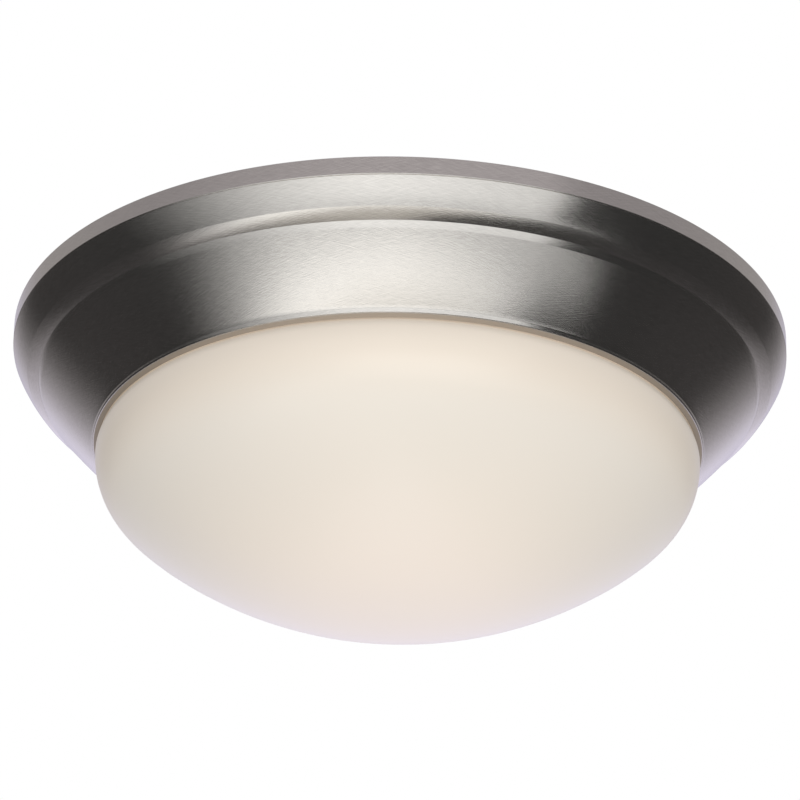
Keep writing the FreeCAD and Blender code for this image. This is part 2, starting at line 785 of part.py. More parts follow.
def make_lampholder(side):
    """Porcelain lampholder: barrel, oval flange with bolt holes, shell cavity and plunger bore."""
    back = "bracket_sheet / 2"
    mouth = f"{back} + holder_length"
    cavity = "shell_radius + shell_sheet + shell_gap"
    corners = [
        (back, "0"),
        (back, "holder_radius"),
        (f"{mouth} - holder_round", "holder_mouth_radius", "holder_round", -1),
        (mouth, "holder_mouth_radius - holder_round"),
        (mouth, cavity),
        (f"{back} + holder_floor", cavity),
        (f"{back} + holder_floor", "0"),
    ]
    body = lamp_turned(f"lampholder_{side}", corners, side)
    ears = new_sketch(body, f"ears_{side}", "YZ_Plane", back)
    slot(ears, "0", "0", "holder_bolt_spacing + 2 * holder_ear", "2 * holder_flange_radius")
    pad(body, ears, "holder_flange_height")
    bolts = new_sketch(body, f"bolt_holes_{side}", "YZ_Plane", "0")
    spots = [("holder_bolt_spacing / 2", "0"), ("0 - holder_bolt_spacing / 2", "0")]
    circles(bolts, spots, "screw_radius + holder_bolt_clearance")
    pocket(body, bolts, backwards=True)
    bore = new_sketch(body, f"plunger_bore_{side}", "YZ_Plane", f"{back} + holder_bore_floor")
    circles(bore, [("0", "0")], "plunger_radius + plunger_clearance")
    pocket(body, bore, backwards=True)
    deep = "( holder_mouth_radius + terminal_seat_gap - terminal_screw_depth - screw_clearance )"
    for name, lift, upwards in (("top", deep, True), ("bottom", f"0 - {deep}", False)):
        tap = new_sketch(body, f"terminal_{name}_{side}", "XY_Plane", lift)
        circles(tap, [("terminal_place", "0")], "terminal_screw_radius + screw_clearance")
        pocket(body, tap, backwards=upwards)
    keep(body, f"lampholder_{side}")


def make_lampholder_metal(side):
    """Screw shell and the plunger contact that the lamp's tip pushes in."""
    floor = "bracket_sheet / 2 + holder_floor"
    mouth = "bracket_sheet / 2 + holder_length - shell_mouth_recess"
    outer = "shell_radius + shell_sheet"
    corners = [
        (floor, "shell_eye_radius"),
        (floor, outer),
        (mouth, outer),
        (mouth, "shell_radius"),
        (f"{floor} + shell_sheet", "shell_radius"),
        (f"{floor} + shell_sheet", "shell_eye_radius"),
    ]
    keep(lamp_turned(f"screw_shell_{side}", corners, side), f"screw_shell_{side}")
    face = "tip_place - plunger_gap"
    neck = f"{face} - plunger_head_height"
    corners = [
        (f"{neck} - plunger_stem", "0"),
        (f"{neck} - plunger_stem", "plunger_radius"),
        (neck, "plunger_radius"),
        (neck, "plunger_head_radius"),
        (face, "plunger_head_radius"),
        (face, "0"),
    ]
    keep(lamp_turned(f"contact_{side}", corners, side), f"contact_{side}")


def make_lamp(side):
    """Lamp: tip contact, black insulator, screw cap and a frosted pear-shaped bulb."""
    base = "tip_place + tip_height"
    tip = [("tip_place", "0"), ("tip_place", "tip_face_radius"), (base, "tip_radius"), (base, "0")]
    keep(lamp_turned(f"lamp_tip_{side}", tip, side), f"lamp_tip_{side}")
    edge = "cap_radius - insulator_inset"
    insulator = [(base, "0"), (base, "insulator_face_radius"), ("cap_place", edge), ("cap_place", "0")]
    keep(lamp_turned(f"lamp_insulator_{side}", insulator, side), f"lamp_insulator_{side}")
    inside = "cap_radius - cap_sheet"
    cap = [("cap_place", inside), ("cap_place", "cap_radius")]
    cap += [("cap_rim_place", "cap_radius"), ("cap_rim_place", inside)]
    keep(lamp_turned(f"lamp_cap_{side}", cap, side), f"lamp_cap_{side}")
    wall = "lamp_glass_wall"
    inner = f"( lamp_radius - {wall} )"
    bulb = [
        ("cap_rim_place - neck_depth", f"neck_radius - {wall}"),
        ("cap_rim_place - neck_depth", "neck_radius"),
        ("cap_rim_place", "neck_radius"),
        ("flare_place", "flare_radius"),
        (*tangent_spot("flare_radius", "lamp_radius"), "lamp_radius", -1),
        ("tip_place + lamp_length", "0"),
        (f"tip_place + lamp_length - {wall}", "0", inner, 1),
        tangent_spot(f"( flare_radius - {wall} )", inner),
        ("flare_place", f"flare_radius - {wall}"),
        ("cap_rim_place", f"neck_radius - {wall}"),
    ]
    keep(lamp_turned(f"lamp_glass_{side}", bulb, side), f"lamp_glass_{side}")


def tangent_spot(flare, radius):
    """Where the straight side from the flared neck touches the round of the bulb."""
    far = f"( flare_to_bulb ^ 2 + {flare} ^ 2 )"
    side = f"sqrt( {far} - {radius} ^ 2 )"
    across = f"bulb_place + {radius} * ( {side} * {flare} - {radius} * flare_to_bulb ) / {far}"
    up = f"{radius} * ( {radius} * {flare} + {side} * flare_to_bulb ) / {far}"
    return across, up


def make_holder_fasteners():
    """Two bolts through both lampholders and the bracket, their nuts, and the terminal screws."""
    face = "bracket_sheet / 2 + holder_flange_height"
    length = "bracket_sheet + 2 * holder_flange_height + nut_height + bolt_past_nut"
    bolts, nuts = [], []
    for name, sign in (("far", ""), ("near", "0 - ")):
        along = f"{sign}holder_bolt_spacing / 2"
        bolt = pan_head_screw(f"holder_bolt_{name}", length, face, along, "0 - lamp_drop")
        upright = FreeCAD.Rotation(FreeCAD.Vector(0, 1, 0), 90)
        bolt.Placement = FreeCAD.Placement(bolt.Placement.Base, upright)
        bolts.append(bolt)
        nuts.append(hex_nut(f"holder_nut_{name}", along))
    group("holder_bolts", bolts)
    group("holder_nuts", nuts)
    for label, up, angle in (("terminal_screws_hot", "", 0), ("terminal_screws_neutral", "0 - ", 180)):
        members = [terminal_screw(f"{label}_{side}", side, up, angle) for side in SIDES]
        group(label, members)


def hex_nut(name, along):
    """A hexagon nut on the left end of a holder bolt."""
    body = new_body(name)
    seat = "0 - bracket_sheet / 2 - holder_flange_height"
    face = new_sketch(body, f"{name}_face", "YZ_Plane", seat)
    corner = "( nut_width / 2 / cos( 30deg ) )"
    turns = [f"{60 * number}deg" for number in range(6)]
    spots = [(f"{along} + {corner} * cos( {t} )", f"0 - lamp_drop + {corner} * sin( {t} )") for t in turns]
    outline(face, spots)
    circles(face, [(along, "0 - lamp_drop")], "screw_radius + screw_clearance")
    pad(body, face, "nut_height", down=True)
    return body


def terminal_screw(name, side, up, angle):
    """A terminal screw set radially in the porcelain, its head above or below the barrel."""
    corners = [
        ("0", "terminal_head_height"),
        ("terminal_head_radius", "terminal_head_height"),
        ("terminal_head_radius", "0"),
        ("terminal_screw_radius", "0"),
        ("terminal_screw_radius", "0 - terminal_screw_depth"),
        ("0", "0 - terminal_screw_depth"),
    ]
    across = "terminal_place" if side == "right" else "0 - terminal_place"
    seat = f"0 - lamp_drop + ( {up}( holder_mouth_radius + terminal_seat_gap ) )"
    body = turned(name, corners, across, "0", seat)
    body.Placement = FreeCAD.Placement(
        body.Placement.Base, FreeCAD.Rotation(FreeCAD.Vector(1, 0, 0), angle)
    )
    return body


def dome_spots():
    """Ends of the dome's bowl, haunch and shoulder arcs: each an angle, a radius and a height."""
    bowl, haunch = "( dome_bowl_angle * 1deg )", "( dome_haunch_angle * 1deg )"
    across = f"dome_bowl_curve * sin( {bowl} )"
    up = "0 - dome_depth + bowl_rise"
    spots = [(bowl, across, up)]
    across += f" + dome_haunch_curve * ( sin( {haunch} ) - sin( {bowl} ) )"
    up += " + haunch_rise"
    spots.append((haunch, across, up))
    across += f" + dome_shoulder_curve * ( 1 - sin( {haunch} ) )"
    spots.append(("90deg", across, "0 - dome_widest_depth"))
    return spots


def make_glass_dome():
    """Opal glass dome: bowl, haunch and shoulder arcs, and a neck that goes up inside the trim ring."""
    body = new_body("glass_dome")
    curves = ["dome_bowl_curve", "dome_haunch_curve", "dome_shoulder_curve", "dome_neck_curve"]
    spots = dome_spots()
    _, widest, level = spots[-1]
    fall = f"( {widest} - dome_neck_radius )"

    def neck_up(curve):
        return f"{level} + sqrt( 2 * ( {curve} ) * {fall} - {fall} ^ 2 )"

    outer = [("0", "0 - dome_depth", curves[0], 1)]
    for (_, across, up), curve in zip(spots, curves[1:]):
        outer.append((across, up, curve, 1))
    outer.append(("dome_neck_radius", neck_up("dome_neck_curve")))
    outer.append(("dome_neck_radius", "0 - dome_top_depth"))
    inner = [("dome_neck_radius - dome_wall", "0 - dome_top_depth")]
    start = neck_up("dome_neck_curve - dome_wall")
    inner.append(("dome_neck_radius - dome_wall", start, "dome_neck_curve - dome_wall", -1))
    for (angle, across, up), curve in reversed(list(zip(spots, curves[:3]))):
        inset = f"{across} - dome_wall * sin( {angle} )"
        lift = f"{up} + dome_wall * cos( {angle} )"
        inner.append((inset, lift, f"{curve} - dome_wall", -1))
    inner.append(("0", "dome_wall - dome_depth"))
    revolve(body, outer + inner)
    keep(body, "glass_dome")


def make_twist_ring():
    """Steel channel crimped over the neck of the dome, with three lugs bent inwards, and its gasket."""
    skirt = "dome_neck_radius + ring_gap"
    core = "dome_neck_radius - dome_wall - ring_gap"
    crown = "0 - dome_top_depth + gasket_height"
    low = "0 - dome_top_depth - lug_drop"
    gasket = [
        ("dome_neck_radius - dome_wall", "0 - dome_top_depth"),
        ("dome_neck_radius", "0 - dome_top_depth"),
        ("dome_neck_radius", crown),
        ("dome_neck_radius - dome_wall", crown),
    ]
    keep(turned("shade_gasket", gasket), "shade_gasket")
    body = new_body("twist_ring")
    corners = [
        (skirt, f"{crown} - ring_skirt"),
        (f"{skirt} + ring_sheet", f"{crown} - ring_skirt"),
        (f"{skirt} + ring_sheet", crown, "ring_sheet", 1),
        (skirt, f"{crown} + ring_sheet"),
        (core, f"{crown} + ring_sheet", "ring_sheet", 1),
        (f"{core} - ring_sheet", crown),
        (f"{core} - ring_sheet", low),
        (core, low),
        (core, crown),
        (skirt, crown),
    ]
    revolve(body, corners)
    lug = new_sketch(body, "lug_outline", "XY_Plane", low)
    end, root = "lug_circle", f"{core} - ring_sheet / 2"
    half = "lug_width / 2"
    outline(lug, [(end, f"0 - {half}"), (root, f"0 - {half}"), (root, half), (end, half)])
    pattern(body, pad(body, lug, "ring_sheet"), HOOKS)
    place(body)
    bind(body, "Placement.Rotation.Angle", "hook_angle * 1deg")
    keep(body, "twist_ring")


def make_hook(number):
    """Bent steel hook riveted under the pan: its foot carries one lug, and a stop ends the twist."""
    body = new_body(f"hook_{number}")
    end = "lug_circle"
    face = f"( {end} - hook_leg_gap )"
    back = f"( {face} - hook_sheet )"
    top = "( 0 - pan_recess - pan_sheet )"
    step = "( 0 - dome_top_depth - lug_drop - hook_foot_gap )"
    inside = "( hook_bend - hook_sheet )"
    corners = [
        (f"{face} - hook_flange", top),
        (f"{face} - hook_bend", top, "hook_bend", -1),
        (face, f"{top} - hook_bend"),
        (face, f"{step} + {inside}", inside, 1),
        (f"{face} + {inside}", step),
        (f"{face} + hook_foot_reach", step),
        (f"{face} + hook_foot_reach", f"{step} - hook_sheet"),
        (f"{back} + hook_bend", f"{step} - hook_sheet", "hook_bend", -1),
        (back, f"{step} - hook_sheet + hook_bend"),
        (back, f"{top} - hook_sheet - {inside}", inside, 1),
        (f"{back} - {inside}", f"{top} - hook_sheet"),
        (f"{face} - hook_flange", f"{top} - hook_sheet"),
    ]
    side = new_sketch(body, f"hook_side_{number}")
    outline(side, corners)
    half = "( lug_width / 2 + hook_stop_gap + hook_sheet )"
    pad(body, side, f"2 * {half}", middle=True)
    stop = new_sketch(body, f"hook_stop_{number}", "XY_Plane", f"{step} - hook_sheet / 2")
    near, far = end, f"{face} + hook_foot_reach"
    low = f"{half} - hook_sheet"
    outline(stop, [(near, low), (far, low), (far, half), (near, half)])
    pad(body, stop, "hook_stop_height + hook_sheet / 2")
    holes = new_sketch(body, f"hook_holes_{number}", "XY_Plane")
    across = f"{face} - hook_rivet_inset"
    spots = [(across, "hook_rivet_half_spacing"), (across, "0 - hook_rivet_half_spacing")]
    circles(holes, spots, "rivet_radius + rivet_clearance")
    pocket(body, holes)
    place(body)
    bind(body, "Placement.Rotation.Angle", f"( hook_angle + {number} * 360 / {HOOKS} ) * 1deg")
    return body


def check_and_write():
    """Make sure that every object is sound, then write one file for each sub-part."""
    doc.recompute()
    for item in doc.Objects:
        if "Invalid" in item.State or "Error" in item.State:
            raise RuntimeError(f"{item.Name} is {item.State}")
    for item in subparts:
        if item.Shape.isNull() or not item.Shape.isValid():
            raise RuntimeError(f"{item.Label} has no valid shape")
    os.makedirs("parts", exist_ok=True)
    for item in subparts:
        item.Shape.exportStep(f"parts/{item.Label}.step")


fill_sheet()
make_trim_ring()
make_back_pan()
make_rivets()
make_insulation_pad()
make_mounting_strap()
make_strap_fasteners()
make_wire_bushing()
make_socket_bracket()
for holder_side in SIDES:
    make_lampholder(holder_side)
    make_lampholder_metal(holder_side)
    make_lamp(holder_side)
make_holder_fasteners()
make_glass_dome()
make_twist_ring()
group("shade_hooks", [make_hook(number) for number in range(HOOKS)])
check_and_write()
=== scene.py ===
import bmesh
import bpy
import json
import math
import random
from mathutils import Matrix, Vector, noise


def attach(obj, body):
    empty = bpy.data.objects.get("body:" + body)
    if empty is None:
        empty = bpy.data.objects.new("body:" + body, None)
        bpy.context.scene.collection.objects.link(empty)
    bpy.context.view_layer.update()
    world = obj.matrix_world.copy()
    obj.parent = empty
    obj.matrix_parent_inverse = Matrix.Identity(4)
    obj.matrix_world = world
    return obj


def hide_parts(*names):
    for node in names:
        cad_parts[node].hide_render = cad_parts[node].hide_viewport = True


# Looks of a flush mount ceiling light: spun nickel trim ring, opal glass dome, and the fittings above them.
# Metres. The origin is the centre of the ceiling plane, +Z is up, the light hangs below it, and the
# photograph was taken from -Y. Sizes of turned pieces are written in millimetres and scaled by MM.

MM = 0.001
DEGREES = 180 / math.pi
ON_AXIS = 1e-6          # a smaller radius than this is the axis itself
SIDES = {"right": 1, "left": -1}
LAMP_LEVEL = -42        # height of the lamps' shared axis, millimetres
STUDS = (57, -57)       # Y of the studs and their cap nuts, millimetres
BOLTS = (23, -23)       # Y of the lampholders' through bolts and their nuts, millimetres

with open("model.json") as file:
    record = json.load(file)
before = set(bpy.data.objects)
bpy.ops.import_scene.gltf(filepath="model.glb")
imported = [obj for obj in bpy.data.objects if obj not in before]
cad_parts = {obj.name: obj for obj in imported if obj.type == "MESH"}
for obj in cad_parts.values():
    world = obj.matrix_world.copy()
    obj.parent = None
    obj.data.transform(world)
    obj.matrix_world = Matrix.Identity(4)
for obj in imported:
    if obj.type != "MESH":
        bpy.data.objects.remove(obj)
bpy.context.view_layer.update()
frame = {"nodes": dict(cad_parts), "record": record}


class Socket:
    """An output of a finish's nodes. Arithmetic on it adds Math nodes."""

    def __init__(self, finish, output):
        self.finish, self.output = finish, output

    def other(self, name):
        """Another output of the same node."""
        return Socket(self.finish, self.output.node.outputs[name])

    def __add__(self, number):
        return self.finish.maths("ADD", self, number)

    def __sub__(self, number):
        return self.finish.maths("SUBTRACT", self, number)

    def __mul__(self, number):
        return self.finish.maths("MULTIPLY", self, number)

    def __truediv__(self, number):
        return self.finish.maths("DIVIDE", self, number)

    def __pow__(self, number):
        return self.finish.maths("POWER", self, number)

    def __rsub__(self, number):
        return self.finish.maths("SUBTRACT", number, self)

    __radd__ = __add__
    __rmul__ = __mul__


class Finish:
    """The nodes of a material, or of the world."""

    def __init__(self, owner):
        owner.use_nodes = True
        self.owner, self.tree = owner, owner.node_tree
        self.tree.nodes.clear()

    def node(self, kind, settings=None, sockets=None, out=0):
        """Add one node: its settings first, then the numbers or links of its sockets."""
        made = self.tree.nodes.new("ShaderNode" + kind)
        for name, setting in (settings or {}).items():
            setattr(made, name, setting)
        for name, number in (sockets or {}).items():
            if isinstance(number, Socket):
                self.tree.links.new(number.output, made.inputs[name])
            else:
                made.inputs[name].default_value = number
        return Socket(self, made.outputs[out]) if made.outputs else None

    def maths(self, operation, first, second=0.0):
        return self.node("Math", {"operation": operation}, {0: first, 1: second})

    def highest(self, first, *others):
        for number in others:
            first = self.maths("MAXIMUM", first, number)
        return first

    def spot(self):
        """Where a point of the piece is."""
        return self.node("TexCoord", out="Object")

    def parts(self, spot):
        """A point's x, y and z."""
        x = self.node("SeparateXYZ", sockets={0: spot})
        return x, x.other("Y"), x.other("Z")

    def reach(self, x, y):
        """How far a point is from the vertical axis."""
        return (x * x + y * y) ** 0.5

    def bearing(self, x, y):
        """Angle of a point round the vertical axis: 0 in front, above 0 on the right."""
        return self.maths("ARCTAN2", x, 0.0 - y)

    def vector(self, x, y, z):
        return self.node("CombineXYZ", sockets={0: x, 1: y, 2: z})

    def noise(self, vector, scale, detail=2.0, roughness=0.5):
        sockets = {"Vector": vector, "Scale": scale, "Detail": detail, "Roughness": roughness}
        return self.node("TexNoise", sockets=sockets)

    def ease(self, number, low, high, first=0.0, last=1.0):
        """Go smoothly from first to last while a number goes from low to high."""
        settings = {"interpolation_type": "SMOOTHSTEP"}
        return self.node("MapRange", settings, {0: number, 1: low, 2: high, 3: first, 4: last})

    def mix(self, share, first, second):
        """One colour into another."""
        return self.node("Mix", {"data_type": "RGBA"}, {0: share, 6: first, 7: second}, out=2)

    def bump(self, height, depth, strength):
        sockets = {"Strength": strength, "Distance": depth, "Height": height}
        return self.node("Bump", sockets=sockets)

    def surface(self, **sockets):
        """Close the material with one Principled shader; a name's underscores stand for spaces."""
        named = {name.replace("_", " "): number for name, number in sockets.items()}
        shader = self.node("BsdfPrincipled", sockets=named)
        self.node("OutputMaterial", sockets={"Surface": shader})
        return self.owner


def new_finish(name):
    return Finish(bpy.data.materials.new(name))


def satin_nickel():
    """Brushed nickel plate: short strokes round the ring that cross at a small angle. The lip over the glass
    gets a painted reflection of the warm glowing glass: a tan colour, with less metal and more roughness."""
    f = new_finish("satin_nickel")
    spot = f.spot()
    x, y, z = f.parts(spot)
    radius, middle_radius = f.reach(x, y), 0.165
    way_round = f.bearing(x, y) * middle_radius
    way_down = z * -0.8 - radius * 0.6
    strokes = []
    for lean, seed in ((0.30, 0.0), (-0.24, 7.0)):
        along = way_round * math.cos(lean) + way_down * math.sin(lean)
        across = way_down * math.cos(lean) - way_round * math.sin(lean)
        strokes.append(f.noise(f.vector(along * 150.0, across * 1900.0, seed), 1.0))
    grain = (strokes[0] + strokes[1]) * 0.5
    cloud = f.noise(spot, 16.0)
    tone = grain * 0.7 + cloud * 0.2 + 0.05
    # The lip's underside, where the reflection of the glowing glass is painted in.
    lip = f.ease(z, -0.0556, -0.0558) * f.ease(radius, 0.1391, 0.1389)
    colour = f.mix(tone, (0.46, 0.445, 0.43, 1.0), (0.86, 0.835, 0.805, 1.0))
    # Painted reflection: the tan colour of the glowing glass on the lip.
    colour = f.mix(lip, colour, (0.36, 0.30, 0.24, 1.0))
    return f.surface(
        Base_Color=colour, Metallic=1.0 - lip * 0.7, Roughness=grain * 0.14 + cloud * 0.05 + 0.11 + lip * 0.25,
        Anisotropic=0.5, Anisotropic_Rotation=0.25, Normal=f.bump(grain, 0.00013, 0.35),
    )


def opal_glass():
    """Cased white glass, satin outside, with painted lamp glow in the middle and the hidden neck, and painted
    shade under the ring.
    """
    f = new_finish("opal_glass")
    spot = f.spot()
    x, y, z = f.parts(spot)
    cloud, fine = f.noise(spot, 9.0), f.noise(spot, 900.0)
    # Painted lamp glow: a warmer base colour and a faint warm emission towards the middle of the dome.
    warm = f.ease(f.reach(x, y) + cloud * 0.02, 0.03, 0.15, 1.0, 0.0)
    colour = f.mix(warm, (0.68, 0.64, 0.575, 1.0), (0.73, 0.665, 0.585, 1.0))
    # Painted shade: a darker tan band near the top of the dome, under the ring.
    colour = f.mix(f.ease(z, -0.092, -0.07), colour, (0.67, 0.60, 0.515, 1.0))
    glow = f.mix(warm, (0.80, 0.74, 0.66, 1.0), (1.12, 0.93, 0.73, 1.0))
    # Painted light: a brighter emission in the neck under the lip, so that the gap there shows lit.
    glow = f.mix(f.ease(z, -0.059, -0.0565), glow, (2.2, 1.8, 1.4, 1.0))
    return f.surface(
        Base_Color=colour, Roughness=0.32 + fine * 0.06, IOR=1.5, Coat_Weight=0.25, Coat_Roughness=0.22,
        Emission_Color=glow, Emission_Strength=0.15, Normal=f.bump(fine, 0.000004, 0.3),
    )


def enamel(name, colour, shade):
    """Baked white enamel with a slight orange peel and rubbed dust."""
    f = new_finish(name)
    spot = f.spot()
    peel, dust = f.noise(spot, 420.0), f.noise(spot, 25.0, 4.0)
    return f.surface(
        Base_Color=f.mix(f.ease(dust, 0.45, 0.75), colour, shade), Roughness=0.24 + dust * 0.2,
        Coat_Weight=0.4, Coat_Roughness=0.08, Normal=f.bump(peel, 0.00002, 0.25),
    )


def plated(name, low, high, roughness):
    """Plated or bare metal with a fine mottle and duller patches."""
    f = new_finish(name)
    spot = f.spot()
    mottle, patch = f.noise(spot, 780.0, 3.0), f.noise(spot, 65.0, 3.0)
    return f.surface(
        Base_Color=f.mix(mottle * 0.5 + patch * 0.5, low, high), Metallic=1.0,
        Roughness=patch * 0.25 + (roughness - 0.12), Normal=f.bump(mottle, 0.00001, 0.25),
    )


def moulded(name, low, high, roughness, grain=900.0, coat=0.0):
    """Plastic, rubber, glaze or black glass: two near tones and a fine skin."""
    f = new_finish(name)
    spot = f.spot()
    skin, cloud = f.noise(spot, grain), f.noise(spot, 40.0, 3.0)
    return f.surface(
        Base_Color=f.mix(cloud, low, high), Roughness=skin * 0.1 + (roughness - 0.05),
        Coat_Weight=coat, Coat_Roughness=0.06, Normal=f.bump(skin, 0.00002, 0.2),
    )


def mineral_wool():
    """Yellowish wool: long fibres that cross each other, matted in layers."""
    f = new_finish("mineral_wool")
    spot = f.spot()
    x, y, z = f.parts(spot)
    swirl = (f.noise(spot, 28.0, 3.0) - 0.5) * 0.09
    ways = []
    for lean, seed in ((0.2, 0.0), (1.0, 3.0), (1.9, 6.0), (2.6, 9.0)):
        along = x * math.cos(lean) + y * math.sin(lean) + swirl
        across = y * math.cos(lean) - x * math.sin(lean) + swirl * (1.0 + 0.3 * lean)
        ways.append(f.noise(f.vector(along * 60.0, across * 900.0, z * 500.0 + seed), 1.0, 3.0, 0.65))
    fibre, clump = f.highest(*ways), f.noise(spot, 60.0, 4.0)
    share = f.ease(fibre * 0.7 + clump * 0.3, 0.46, 0.66)
    return f.surface(
        Base_Color=f.mix(share, (0.46, 0.35, 0.13, 1.0), (0.86, 0.76, 0.46, 1.0)), Roughness=0.95,
        Sheen_Weight=0.4, Sheen_Roughness=0.6, Normal=f.bump(fibre + clump * 0.6, 0.0012, 0.8),
    )


def lamp_frost():
    """Frosted lamp glass: white, softly rough."""
    f = new_finish("lamp_frost")
    spot = f.spot()
    cloud, fine = f.noise(spot, 30.0), f.noise(spot, 1200.0)
    return f.surface(
        Base_Color=f.mix(cloud, (0.80, 0.79, 0.76, 1.0), (0.88, 0.87, 0.84, 1.0)),
        Roughness=0.28 + fine * 0.1, Coat_Weight=0.3, Coat_Roughness=0.12,
        Emission_Color=(1.0, 0.9, 0.75, 1.0), Emission_Strength=0.05,
    )


FINISHES = {
    "satin_nickel": satin_nickel(),
    "opal_glass": opal_glass(),
    "white_enamel": enamel("white_enamel", (0.82, 0.82, 0.80, 1.0), (0.70, 0.69, 0.66, 1.0)),
    "mineral_wool": mineral_wool(),
    "zinc_steel": plated("zinc_steel", (0.50, 0.51, 0.52, 1.0), (0.76, 0.77, 0.76, 1.0), 0.36),
    "green_zinc": plated("green_zinc", (0.03, 0.22, 0.07, 1.0), (0.10, 0.42, 0.16, 1.0), 0.34),
    "black_nylon": moulded("black_nylon", (0.015, 0.015, 0.016, 1.0), (0.035, 0.035, 0.036, 1.0), 0.42),
    "porcelain": moulded("porcelain", (0.78, 0.77, 0.73, 1.0), (0.86, 0.85, 0.81, 1.0), 0.2, 300.0, 0.8),
    "shell_metal": plated("shell_metal", (0.66, 0.66, 0.66, 1.0), (0.84, 0.84, 0.84, 1.0), 0.3),
    "contact_brass": plated("contact_brass", (0.62, 0.42, 0.16, 1.0), (0.84, 0.64, 0.30, 1.0), 0.3),
    "nickel_brass": plated("nickel_brass", (0.60, 0.58, 0.53, 1.0), (0.80, 0.78, 0.72, 1.0), 0.28),
    "gasket_rubber": moulded("gasket_rubber", (0.72, 0.72, 0.69, 1.0), (0.80, 0.80, 0.77, 1.0), 0.6),
    "lamp_frost": lamp_frost(),
    "lamp_cap_metal": plated("lamp_cap_metal", (0.60, 0.60, 0.58, 1.0), (0.80, 0.80, 0.78, 1.0), 0.32),
    "lamp_vitrite": moulded("lamp_vitrite", (0.01, 0.01, 0.012, 1.0), (0.02, 0.02, 0.024, 1.0), 0.12,
                            200.0, 0.6),
    "lamp_solder": plated("lamp_solder", (0.50, 0.50, 0.49, 1.0), (0.68, 0.68, 0.67, 1.0), 0.3),
}


def add_object(name, data):
    made = bpy.data.objects.new(name, data)
    bpy.context.scene.collection.objects.link(made)
    return made


def paint(piece, slot):
    """Give a piece its finish, in place of any it has."""
    piece.data.materials.clear()
    piece.data.materials.append(FINISHES[slot])


def paint_frame():
    """Give every node of the frame the finish that the record names for it."""
    for part in frame["record"]["subparts"]:
        paint(frame["nodes"][part["node"]], part["material_slot"])


def new_piece(name, mesh, slot, body, stands_for):
    """A piece from a mesh, on its body, in its finish, in place of the nodes it stands for."""
    piece = add_object(name, mesh)
    paint(piece, slot)
    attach(piece, body)
    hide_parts(*stands_for)
    return piece


def arc(centre, radius, start, end, steps):
    """Points round a centre, from one angle to another in degrees; both ends are kept."""
    angles = [math.radians(start + (end - start) * n / steps) for n in range(steps + 1)]
    return [(centre[0] + radius * math.cos(a), centre[1] + radius * math.sin(a)) for a in angles]


def bow(start, end, radius, steps):
    """Points from start to just before end on an arc that bulges to the left of the way for a radius
    above 0, and to the right for one below."""
    first, last = Vector(start), Vector(end)
    chord = last - first
    rise = math.sqrt(radius**2 - (chord.length / 2) ** 2)
    side = Vector((chord.y, -chord.x)).normalized() * math.copysign(1.0, radius)
    centre = (first + last) / 2 + side * rise
    a, b = (math.atan2(p.y - centre.y, p.x - centre.x) for p in (first, last))
    if b - a > math.pi:
        b -= 2 * math.pi
    if a - b > math.pi:
        b += 2 * math.pi
    turns = [a + (b - a) * n / steps for n in range(steps)]
    return [(centre.x + abs(radius) * math.cos(t), centre.y + abs(radius) * math.sin(t)) for t in turns]


def smooth(mesh, sharp):
    """Shade a mesh smooth and keep its edges crisp above an angle in degrees."""
    mesh.polygons.foreach_set("use_smooth", [True] * len(mesh.polygons))
    mesh.set_sharp_from_angle(angle=math.radians(sharp))


def tidy(mesh, sharp):
    """Face a mesh outwards and smooth it."""
    work = bmesh.new()
    work.from_mesh(mesh)
    bmesh.ops.recalc_face_normals(work, faces=work.faces)
    work.to_mesh(mesh)
    work.free()
    smooth(mesh, sharp)
    return mesh


def spun(name, outline, segments, sharp=32.0, closed=True, axis=None, shape=None):
    """Mesh of an outline of (radius, height) in millimetres, turned about Z, or about an axis matrix.
    A shape moves each point of the outline by the angle that it stands at."""
    spots, faces, rings = [], [], []
    for radius, height in outline:
        if radius < ON_AXIS:
            rings.append([len(spots)])
            spots.append(Vector((0.0, 0.0, height)) * MM)
            continue
        rings.append(list(range(len(spots), len(spots) + segments)))
        for number in range(segments):
            angle = 2 * math.pi * number / segments
            reach, level = shape(radius, height, angle) if shape else (radius, height)
            spots.append(Vector((reach * math.cos(angle), reach * math.sin(angle), level)) * MM)
    pairs = list(zip(rings, rings[1:]))
    if closed:
        pairs.append((rings[-1], rings[0]))
    for first, second in pairs:
        for number in range(segments):
            after = (number + 1) % segments
            corners = [first[number % len(first)], first[after % len(first)]]
            corners += [second[after % len(second)], second[number % len(second)]]
            corners = list(dict.fromkeys(corners))
            if len(corners) > 2:
                faces.append(corners)
    if axis:
        spots = [axis @ spot for spot in spots]
    mesh = bpy.data.meshes.new(name)
    mesh.from_pydata(spots, [], faces)
    return tidy(mesh, sharp)


